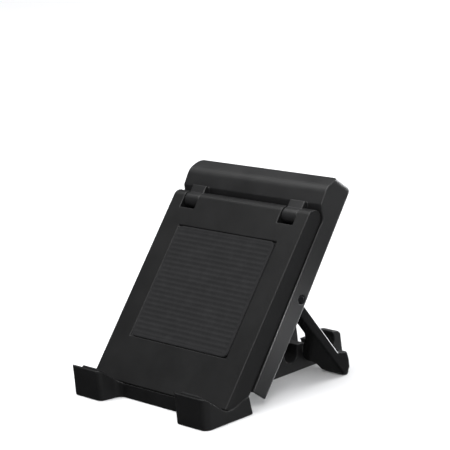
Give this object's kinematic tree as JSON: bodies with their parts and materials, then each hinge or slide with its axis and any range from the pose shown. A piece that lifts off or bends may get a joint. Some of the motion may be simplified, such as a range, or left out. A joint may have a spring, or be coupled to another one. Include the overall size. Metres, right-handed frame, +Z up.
{
  "type": "phone stand",
  "caption": "Folding desktop phone stand: a leaning cradle with a lower tray, a hinged back frame, a folding rear leg and a fold-up ground stay.",
  "frame": {"origin": "on the ground, at mid-width, below the tray's rear edge", "axes": "+X across the width, +Y to the back, +Z up"},
  "size_m": [0.059, 0.0692, 0.0581],
  "materials": {
    "shell": "satin moulded",
    "frame": "satin moulded",
    "leg": "satin moulded",
    "grip": "matt",
    "pin": "dark, turned"
  },
  "bodies": {
    "cradle": {"cradle_shell": "shell", "back_pad": "grip", "seat_pad_left": "grip", "seat_pad_right": "grip", "front_foot_left": "grip", "front_foot_right": "grip", "cradle_pin_left": "pin", "cradle_pin_right": "pin"},
    "back_frame": {"frame_housing": "frame", "leg_axle": "pin", "stay_pin": "pin"},
    "leg": {"leg_frame": "leg", "leg_foot_left": "grip", "leg_foot_right": "grip"},
    "stay": {"stay_bar": "leg", "stay_foot_left": "grip", "stay_foot_right": "grip"}
  },
  "joints": [
    {"name": "frame_swing", "type": "hinge", "parent": "cradle", "child": "back_frame", "pos_m": [0, 0.03027, 0.04837], "axis": [1, 0, 0], "range_deg": [0, 15]},
    {"name": "leg_fold", "type": "hinge", "parent": "back_frame", "child": "leg", "pos_m": [0, 0.02234, 0.02712], "axis": [1, 0, 0], "range_deg": [-70.5, 0]},
    {"name": "stay_fold", "type": "hinge", "parent": "back_frame", "child": "stay", "pos_m": [0, 0.0062, 0.007], "axis": [1, 0, 0], "range_deg": [0, 51]}
  ]
}
